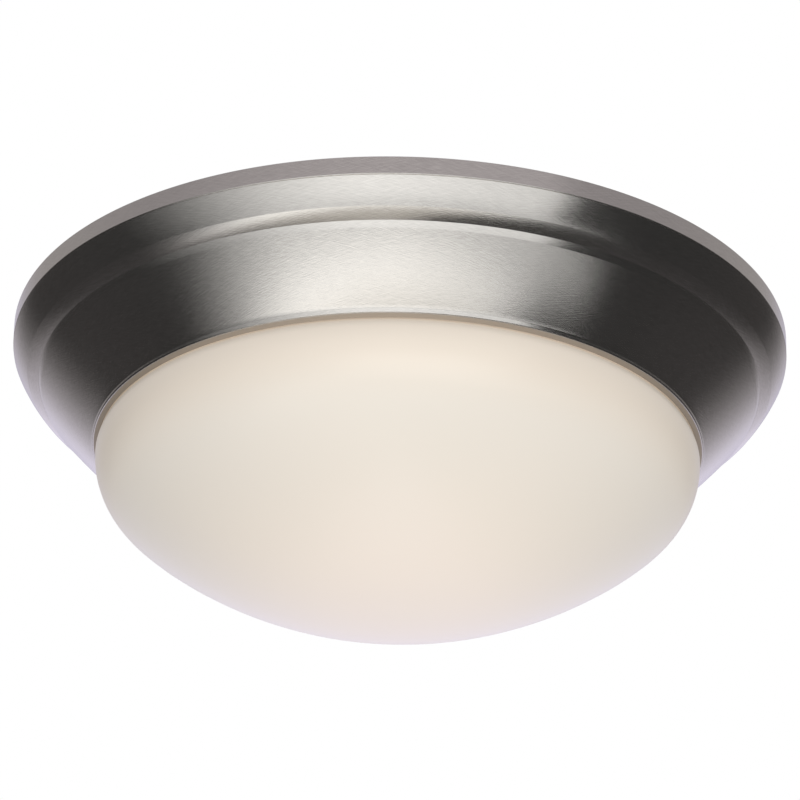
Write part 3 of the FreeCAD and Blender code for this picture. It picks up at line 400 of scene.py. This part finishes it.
def make_trim_ring():
    """Spun ring with its two mouldings and the lip that is turned in round the dome."""
    # Flange on the ceiling, flat rim, and the groove under the rim
    out = [(164.0, 0.0), (177.8, 0.0)] + arc((177.8, -0.3), 0.3, 70, 0, 4)
    out += [(178.12, -4.0), (178.12, -8.3), (177.98, -8.5), (177.68, -8.72), (177.9, -8.95)]
    # Upper moulding, its turn to the crease, and the shoulder under the crease
    out += bow((178.0, -9.05), (171.2, -20.5), 52.0, 20)
    out += bow((171.2, -20.5), (165.9, -24.6), 36.0, 18)
    out += bow((165.9, -24.6), (164.35, -27.6), 20.0, 12)
    # Lower moulding, the bead at its foot, and the lip with its turned edge
    out += bow((164.35, -27.6), (140.2, -53.75), 350.0, 24)
    out += bow((140.2, -53.75), (139.83, -54.52), -1.8, 8)
    out += [(139.83, -54.52)] + bow((139.73, -55.1), (139.06, -55.73), 0.8, 12)
    out += [(139.06, -55.73), (137.3, -57.15)] + arc((137.34, -56.75), 0.4, -98, -270, 26)
    # Back of the sheet, from the lip up to the flange
    out += [(138.7, -54.9)] + bow((139.54, -53.14), (163.2, -27.8), -900.0, 12)
    out += [(163.2, -27.8), (164.7, -25.2), (165.3, -24.3)] + bow((165.6, -24.0), (177.0, -8.7), -50.0, 12)
    out += [(177.0, -8.7), (176.9, -0.9), (164.0, -0.9)]
    mesh = spun("trim_ring_spun", out, 320, 8.0)
    new_piece("trim_ring_spun", mesh, "satin_nickel", "fixture", ["trim_ring"])


def dome_outline():
    """Outside of the dome from its lowest point to the top of its neck, then the inside back down."""
    bottom, neck, curl, wall = -132.099, 135.2, 7.4, 3.5
    # The bowl, the haunch and the widest part: their radii, and where they end in degrees from straight down
    radii, ends, steps = (195.35, 123.0, 29.51), (37.2, 43.9, 90.0), (48, 12, 12)
    centres = [Vector((0.0, radii[0] + bottom))]
    for end, big, small in zip(ends, radii, radii[1:]):
        lean = math.radians(end)
        centres.append(centres[-1] + Vector((math.sin(lean), -math.cos(lean))) * (big - small))
    widest, level = centres[2].x + radii[2], centres[2].y

    def skin(inset):
        line = []
        for centre, radius, start, end, count in zip(centres, radii, (0.0,) + ends, ends, steps):
            line += arc(centre, radius - inset, start - 90, end - 90, count)[:-1]
        top = math.degrees(math.acos((neck - inset - widest + curl) / (curl - inset)))
        return line + arc((widest - curl, level), curl - inset, 0, top, 12)

    outer, inner = skin(0.0), skin(wall)
    outer[0], inner[0] = (0.0, outer[0][1]), (0.0, inner[0][1])
    rim = [(neck, -50.0), (neck, -42.2)] + arc((134.4, -42.2), 0.8, 0, 90, 5)
    rim += arc((132.5, -42.2), 0.8, 90, 180, 5) + [(131.7, -50.0)]
    return outer + rim + inner[::-1]


def make_glass_dome():
    mesh = spun("glass_dome_blown", dome_outline(), 256, 50.0, closed=False)
    new_piece("glass_dome_blown", mesh, "opal_glass", "shade", ["glass_dome"])


def gathered(name, meshes):
    """One mesh of several, and the several are let go."""
    work = bmesh.new()
    for mesh in meshes:
        work.from_mesh(mesh)
        bpy.data.meshes.remove(mesh)
    whole = bpy.data.meshes.new(name)
    work.to_mesh(whole)
    work.free()
    return whole


def block(size, spot, turn=0.0):
    """A cutting block, its size and middle in millimetres, turned about Z in degrees."""
    work, mesh = bmesh.new(), bpy.data.meshes.new("block")
    place = Matrix.Rotation(math.radians(turn), 4, "Z") @ Matrix.Translation(Vector(spot) * MM)
    stretch = Matrix.Diagonal((*[side * MM for side in size], 1.0))
    bmesh.ops.create_cube(work, size=1.0, matrix=place @ stretch)
    work.to_mesh(mesh)
    work.free()
    return mesh


def carved(mesh, cutters):
    """A mesh with the cutters' shapes taken out of it."""
    for cutter in cutters:
        solid, knife = add_object("solid", mesh), add_object("knife", cutter)
        step = solid.modifiers.new("cut", "BOOLEAN")
        step.operation, step.object, step.solver = "DIFFERENCE", knife, "EXACT"
        after = bpy.data.meshes.new_from_object(solid.evaluated_get(bpy.context.evaluated_depsgraph_get()))
        for piece in (solid, knife):
            bpy.data.objects.remove(piece)
        for used in (mesh, cutter):
            bpy.data.meshes.remove(used)
        mesh = after
    return mesh


def at(x, y, z, tip=0.0, about="X"):
    """A place in millimetres, with Z tipped by an angle in degrees."""
    return Matrix.Translation(Vector((x, y, z)) * MM) @ Matrix.Rotation(math.radians(tip), 4, about)


def hexagon(half, angle):
    """How far out a hexagon's flats are at an angle, from half its width across flats."""
    return half / math.cos((angle % (math.pi / 3)) - math.pi / 6)


def threaded(radius, depth, pitch, start, end):
    """A closed rod with a rolled screw thread from start to end along Z, plain and thinner at its end."""
    steps = max(8, round(abs(end - start) / pitch * 7))
    levels = [start + (end - start) * n / steps for n in range(steps + 1)]

    def helix(reach, level, angle):
        wave = 0.5 - 0.5 * math.cos(2 * math.pi * (level / pitch - angle / (2 * math.pi)))
        near = min(1.0, abs(level - end) / pitch)
        return reach - depth * (wave * near + (1.0 - near)), level

    rod = [(0.0, start)] + [(radius, level) for level in levels] + [(0.0, end)]
    return spun("thread", rod, 28, 60.0, closed=False, shape=helix)


def screw_head(kind, radius, height):
    """A head that stands on Z = 0, with the recess that its driver needs: a cross, or else a slot."""
    segments, sharp, shape = 48, 30.0, None
    slots = [((0.9, 4 * radius, height), 0)]
    if kind == "pan":
        outline = [(radius * 0.4, height - 0.02)] + arc((radius - 0.9, height - 0.9), 0.9, 84, 0, 8)
        outline += [(radius, 0.0)]
        slots = [((0.85, 1.35 * radius, height), turn) for turn in (0, 90)]
    elif kind == "flat":
        outline = [(radius - 0.3, height), (radius, height - 0.3), (radius, 0.15), (radius - 0.15, 0.0)]
    else:
        washer, corner = 0.6, radius * 0.95
        outline = [(radius * 0.78, height), (corner, height - 0.35), (corner, washer)]
        outline += [(radius * 0.96, washer), (radius, 0.45), (radius, 0.0)]
        segments, sharp = 96, 25.0

        def shape(reach, level, angle):
            flat = level >= washer and reach <= corner
            return (min(reach, hexagon(radius * 0.83, angle)) if flat else reach), level

    outline = [(0.0, height)] + outline + [(0.0, 0.0)]
    head = spun("head", outline, segments, sharp, closed=False, shape=shape)
    return tidy(carved(head, [block(size, (0.0, 0.0, height), turn) for size, turn in slots]), 30.0)


def make_set(name, slot, node, places, make_one):
    """One piece of several alike, each made and then put in its place."""
    members = []
    for place in places:
        member = make_one()
        member.transform(place)
        members.append(member)
    return new_piece(name, gathered(name, members), slot, "fixture", [node])


def make_screws(name, slot, node, kind, places, head, shank):
    """Screws at their places: each a head on its seat and a threaded shank on the other side of it.
    Head and shank are each a radius and a length."""
    depth, pitch = 0.34, 0.794

    def screw():
        return gathered("screw", [screw_head(kind, *head), threaded(shank[0], depth, pitch, 0.05, -shank[1])])

    turned = [place @ Matrix.Rotation(0.5 + 0.9 * number, 4, "Z") for number, place in enumerate(places)]
    smooth(make_set(name, slot, node, turned, screw).data, 34.0)


def make_fasteners():
    """The screws and bolts of the strap, the pan, the bracket and the lampholders."""
    pan, stem = (3.45, 2.1), 2.08
    places = [at(0, y, -3.4) for y in STUDS]
    make_screws("strap_studs", "zinc_steel", "stud_screws", "pan", places, pan, (stem, 12.4))
    places = [at(10, y, -10.3, 180) for y in (15, -15)]
    make_screws("pan_screws", "zinc_steel", "bracket_screws", "pan", places, pan, (stem, 3.3))
    places = [at(0, 20, -1.6, 180)]
    make_screws("earth_screw", "green_zinc", "ground_screw", "hex", places, (4.2, 2.4), (stem, 1.6))
    places = [at(7.75, y, LAMP_LEVEL, 90, "Y") for y in BOLTS]
    make_screws("through_bolts", "zinc_steel", "holder_bolts", "pan", places, pan, (stem, 19.8))
    for node, slot, turn, lift in (
        ("terminal_screws_hot", "contact_brass", 0, 18.5),
        ("terminal_screws_neutral", "nickel_brass", 180, -18.5),
    ):
        places = [at(x, 0, LAMP_LEVEL + lift, turn) for x in (6, -6)]
        make_screws(node + "_slotted", slot, node, "flat", places, (3.2, 2.0), (1.8, 8.0))


def make_cap_nuts():
    """Knurled cap nuts, finger tight on the studs under the pan."""
    bore, grip = 2.13, 5.4
    outline = [(bore, 0.0), (7.8, 0.0), (8.0, -0.2), (8.0, -0.95), (7.75, -1.2), (5.5, -1.3)]
    outline += [(5.15, -1.7), (5.15, -1.9), (grip, -2.1), (grip, -5.4), (5.15, -5.6), (5.15, -5.9)]
    outline += bow((grip, -6.3), (0.0, -9.0), 6.75, 14) + [(0.0, -9.0), (0.0, -7.5), (bore, -7.5)]

    def knurl(reach, level, angle):
        worked = reach == grip and -5.5 < level < -2.0
        return reach - (0.28 * abs(math.sin(18 * angle)) if worked else 0.0), level

    def nut():
        return spun("cap_nut", outline, 144, closed=False, shape=knurl)

    make_set("knurled_cap_nuts", "nickel_brass", "cap_nuts", [at(0, y, -8.8) for y in STUDS], nut)


def make_holder_nuts():
    """Chamfered hexagon nuts on the left ends of the through bolts."""
    outline = [(2.3, 0.0), (4.3, 0.0), (5.03, 0.4), (5.03, 2.7), (4.3, 3.1), (2.3, 3.1), (2.1, 2.9), (2.1, 0.2)]

    def flats(reach, level, angle):
        return min(reach, hexagon(4.35, angle)), level

    def nut():
        return spun("nut", outline, 72, 22.0, shape=flats)

    places = [at(-7.75, y, LAMP_LEVEL, -90, "Y") for y in BOLTS]
    make_set("hex_nuts", "zinc_steel", "holder_nuts", places, nut)


def make_lamp_threads(side, hand):
    """The rolled screw shell in a lampholder and the cap of the lamp that turns in it. Heights are along
    the lamp, from the middle of the light."""
    lead, run_out = 3.629, 2.5
    axis = at(0, 0, LAMP_LEVEL, 90 * hand, "Y")

    def rolled(depth, start, end):
        def helix(reach, level, angle):
            wave = 0.5 + 0.5 * math.cos(2 * math.pi * (level / lead - angle / (2 * math.pi)))
            fade = min(1.0, max(0.0, (level - start) / run_out), max(0.0, (end - level) / run_out))
            return reach - depth * wave * fade, level
        return helix

    levels = [12.35 + 0.5 * n for n in range(45)] + [34.9, 35.5]
    shell = [(7.0, 11.5), (13.4, 11.5), (13.65, 11.75)] + [(13.65, level) for level in levels]
    shell += [(13.45, 35.55)] + [(13.44, level) for level in reversed(levels)] + [(13.2, 11.9), (7.0, 11.9)]
    mesh = spun("shell", shell, 96, 40.0, axis=axis, shape=rolled(0.19, 14.0, 34.5))
    new_piece(f"rolled_shell_{side}", mesh, "shell_metal", "fixture", [f"screw_shell_{side}"])
    levels = [18.0 + 0.4 * n for n in range(50)]
    cap = [(12.55, 17.75), (12.8, 17.75)] + [(12.95, level) for level in levels]
    cap += [(12.95, 39.0), (12.9, 39.45), (12.5, 39.45), (12.5, 38.6)]
    cap += [(12.5, level) for level in reversed(levels)]
    mesh = spun("cap", cap, 96, 40.0, axis=axis, shape=rolled(0.62, 18.5, 37.0))
    new_piece(f"rolled_cap_{side}", mesh, "lamp_cap_metal", f"lamp_{side}", [f"lamp_cap_{side}"])


def wool_batt():
    """A lumpy ring of wool with layers that show at its edges. It stays below the ceiling."""
    low, high, inside, edge, ceiling = -7.7, -1.9, 73.2, 139.6, -0.95
    across, upright, bulge = 40, 8, 0.6
    width, depth = edge - inside, high - low
    curve = [(n / upright, bulge * math.sin(math.pi * n / upright)) for n in range(1, upright)]
    line = [(inside + width * n / across, low) for n in range(across + 1)]
    line += [(edge + out, low + depth * share) for share, out in curve]
    line += [(edge - width * n / across, high) for n in range(across + 1)]
    line += [(inside - out, high - depth * share) for share, out in curve]

    def fluff(reach, level, angle):
        spot = Vector((reach * math.cos(angle), reach * math.sin(angle), level))
        lump = noise.noise(spot * 0.07) * 0.7 + noise.noise(spot * 0.22) * 0.45 + noise.noise(spot * 0.8) * 0.25
        side = min(abs(reach - inside), abs(edge - reach))
        drop = 0.88 * math.exp(-side / 3.0)
        raised = level + (level - low) / depth * (lump * 0.75 - drop)
        layers = noise.noise(Vector((spot.x * 0.05, spot.y * 0.05, level * 1.4))) * 1.1 * math.exp(-side / 2.0)
        return reach + layers, max(low, min(raised, ceiling))

    return spun("batt", line, 480, 80.0, shape=fluff)


def wool_fibres():
    """Loose fibres that lie in bends on the batt, each a thin square rod."""
    chance, strands = random.Random(11), bmesh.new()
    count, half_width, half_height, stride = 900, 0.11, 0.1, 1.3
    for _ in range(count):
        reach, around = chance.uniform(76.0, 136.0), chance.uniform(0.0, 2 * math.pi)
        spot = Vector((reach * math.cos(around), reach * math.sin(around), chance.uniform(-2.0, -1.15)))
        heading, bend = chance.uniform(0, 2 * math.pi), chance.uniform(-0.3, 0.3)
        rise = chance.uniform(-0.05, 0.05)
        rings = []
        for _ in range(chance.randint(5, 12)):
            aside = Vector((-math.sin(heading), math.cos(heading), 0.0)) * half_width
            upward = Vector((0.0, 0.0, half_height))
            rings.append([strands.verts.new((spot + lean) * MM) for lean in (aside, upward, -aside, -upward)])
            heading += bend
            spot = spot + Vector((math.cos(heading), math.sin(heading), rise)) * stride
            spot.z = max(-2.2, min(spot.z, -1.0))
            if not 75.0 < Vector((spot.x, spot.y)).length < 137.5:
                break
        for first, second in zip(rings, rings[1:]):
            for n in range(4):
                strands.faces.new((first[n], first[(n + 1) % 4], second[(n + 1) % 4], second[n]))
        if len(rings) > 1:
            strands.faces.new(rings[0][::-1])
            strands.faces.new(rings[-1])
    for face in strands.faces:
        face.smooth = True
    fibres = bpy.data.meshes.new("fibres")
    strands.to_mesh(fibres)
    strands.free()
    return fibres


def make_wool_pad():
    """Ring of mineral wool above the pan: a soft lumpy batt with loose fibres on it."""
    mesh = gathered("insulation_wool", [wool_batt(), wool_fibres()])
    pad = new_piece("insulation_wool", mesh, "mineral_wool", "fixture", ["insulation_pad"])


def set_camera():
    """The photograph's place below the light: fitted to the rim, the mouldings and the dome."""
    lift, roll = math.radians(27.492), math.radians(-1.204)
    yaw, pitch = math.radians(0.01277), math.radians(-0.59339)
    distance, focal_pixels, picture_pixels, sensor = 2.37709, 5140.35, 800.0, 36.0
    looks = Matrix((
        (1.0, 0.0, 0.0),
        (0.0, -math.sin(lift), math.cos(lift)),
        (0.0, math.cos(lift), math.sin(lift)),
    ))
    rows = Matrix.Identity(3)
    for angle, axis in ((roll, "Z"), (pitch, "X"), (-yaw, "Y")):
        rows = rows @ Matrix.Rotation(angle, 3, axis)
    rows = rows @ looks
    turned = Matrix((rows[0], rows[1], -rows[2])).transposed().to_4x4()
    spot = Vector((0.0, -distance * math.cos(lift), -distance * math.sin(lift)))
    data = bpy.data.cameras.new("camera")
    data.sensor_width, data.lens = sensor, sensor * focal_pixels / picture_pixels
    data.clip_start, data.clip_end = 0.05, 60.0
    camera = add_object("camera", data)
    camera.matrix_world = Matrix.Translation(spot) @ turned
    bpy.context.scene.camera = camera


def stage_piece(name, mesh, material):
    piece = add_object(name, mesh)
    mesh.materials.append(material)
    return piece


def seen_directly(f):
    """1 for rays that show the white background: from the camera, off metal, or through glass."""
    rays = f.node("LightPath", out="Is Camera Ray")
    return f.highest(rays, rays.other("Is Glossy Ray"), rays.other("Is Transmission Ray"))


def set_world():
    """White behind the light, and a softer level that lights it."""
    world = bpy.data.worlds.new("studio")
    bpy.context.scene.world = world
    f = Finish(world)
    tone = f.mix(seen_directly(f), (0.56, 0.56, 0.57, 1.0), (1.0, 1.0, 1.0, 1.0))
    back = f.node("Background", sockets={"Color": tone, "Strength": 1.0})
    f.node("OutputWorld", sockets={"Surface": back})


def make_floor():
    """Pale floor far below, as under a ceiling."""
    f = new_finish("pale_floor")
    x, y, _ = f.parts(f.spot())
    far = f.ease(f.reach(x, y), 0.6, 4.0, 0.55, 1.0)
    matt = f.node("BsdfDiffuse", sockets={"Color": (0.85, 0.85, 0.85, 1.0)})
    white = f.node("Emission", sockets={"Color": (1.0, 1.0, 1.0, 1.0), "Strength": 1.0})
    both = f.node("MixShader", sockets={0: seen_directly(f) * far, 1: matt, 2: white})
    f.node("OutputMaterial", sockets={"Surface": both})
    half, level = 20.0, -3.9
    mesh = bpy.data.meshes.new("floor")
    corners = [(-half, -half, level), (half, -half, level), (half, half, level), (-half, half, level)]
    mesh.from_pydata(corners, [], [(0, 1, 2, 3)])
    stage_piece("floor", mesh, f.owner)


def make_studio_walls():
    """What the metal reflects, on a ball that only reflections see: a wide softbox in front and below,
    dark flags at its sides, paler walls above and behind. Turn is the direction's bearing and height its
    angle above the horizon, both in degrees."""
    f = new_finish("studio_walls")
    spot = f.spot()
    x, y, z = f.parts(spot)
    length = f.node("VectorMath", {"operation": "LENGTH"}, {0: spot}, out="Value")
    turn = f.bearing(x, y) * DEGREES
    height = f.maths("ARCSINE", z / length) * DEGREES
    # The softbox's edges. The left one is a long fade that reaches further out below, in two steps. The
    # right one is crisp, and leans below.
    flare = f.ease(height, -38.0, -43.0, 0.0, 19.0) + f.ease(height, -47.0, -52.0, 0.0, 12.0)
    edge = f.ease(height, -41.0, -37.0, (height + 56.0) * 1.6 + 51.0, 46.0)
    front = f.ease(turn + flare, -84.0, -9.0) * f.ease(turn - edge, -5.0, 5.0, 1.0, 0.0)
    # Its brightness: less to the right and at the foot, none above the horizon, with a dimmer band about
    # 45 degrees down and a brighter one under it.
    cross = f.ease(turn, -8.0, 44.0, 1.0, 0.76)
    tall = f.ease(height, -68.0, -58.0, 0.48, 1.0) * f.ease(height, 8.0, 20.0, 1.0, 0.0)
    dip = f.ease(height, -55.0, -50.0) * f.ease(height, -32.0, -48.0)
    gleam = f.ease(height, -62.0, -58.0) * f.ease(height, -47.0, -52.0)
    softbox = front * cross * tall * (gleam * 0.45 - dip * 0.47 + 1.0) * 1.2
    # The walls round it
    behind = f.ease(turn * turn, 124.0**2, 174.0**2)
    sides = f.ease(turn * turn, 60.0**2, 120.0**2)
    upper = f.ease(height, 8.0, 22.0)
    walls = upper * (front * 0.13 + behind * 0.30 + 0.33)
    rear = behind * (1.0 - upper) * 1.05
    glow = softbox + walls + rear + sides * 0.012 + 0.035
    tint = (1.0, 1.0, 0.985, 1.0)
    for share, colour in (
        (f.ease(height, -72.0, -50.0, 1.0, 0.0), (1.0, 0.95, 0.86, 1.0)), (upper, (1.0, 0.93, 0.95, 1.0)),
        (sides, (1.04, 0.98, 0.97, 1.0)), (behind, (0.99, 0.94, 1.16, 1.0)),
    ):
        tint = f.mix(share, tint, colour)
    light = f.node("Emission", sockets={"Color": tint, "Strength": glow})
    f.node("OutputMaterial", sockets={"Surface": light})
    radius = 3000.0
    ball = [(0.0, -radius)] + arc((0.0, 0.0), radius, -90, 90, 24)[1:-1] + [(0.0, radius)]
    studio = stage_piece("studio_walls", spun("studio_walls", ball, 48, closed=False), f.owner)
    studio.visible_camera = studio.visible_diffuse = studio.visible_transmission = False
    studio.visible_shadow = studio.visible_volume_scatter = False


def add_light(name, spot, size, power):
    """A pale warm area light that faces the ring; neither the camera nor a reflection sees it."""
    data = bpy.data.lights.new(name, "AREA")
    data.shape, data.size, data.size_y = "RECTANGLE", size[0], size[1]
    data.energy, data.color = power, (1.0, 0.98, 0.95)
    way = Vector((0.0, 0.0, -0.06)) - Vector(spot)
    light = add_object(name, data)
    light.location, light.rotation_euler = spot, way.to_track_quat("-Z", "Y").to_euler()
    light.visible_camera = light.visible_glossy = False


paint_frame()
make_trim_ring()
make_glass_dome()
make_fasteners()
make_cap_nuts()
make_holder_nuts()
for side, hand in SIDES.items():
    make_lamp_threads(side, hand)
make_wool_pad()
set_camera()
set_world()
make_floor()
make_studio_walls()
add_light("front_softbox", (0.3, -2.2, -1.6), (2.4, 1.6), 46.0)
add_light("top_softbox", (-0.6, 1.0, 2.2), (2.0, 2.0), 40.0)

bpy.context.scene.view_settings.view_transform = "Standard"
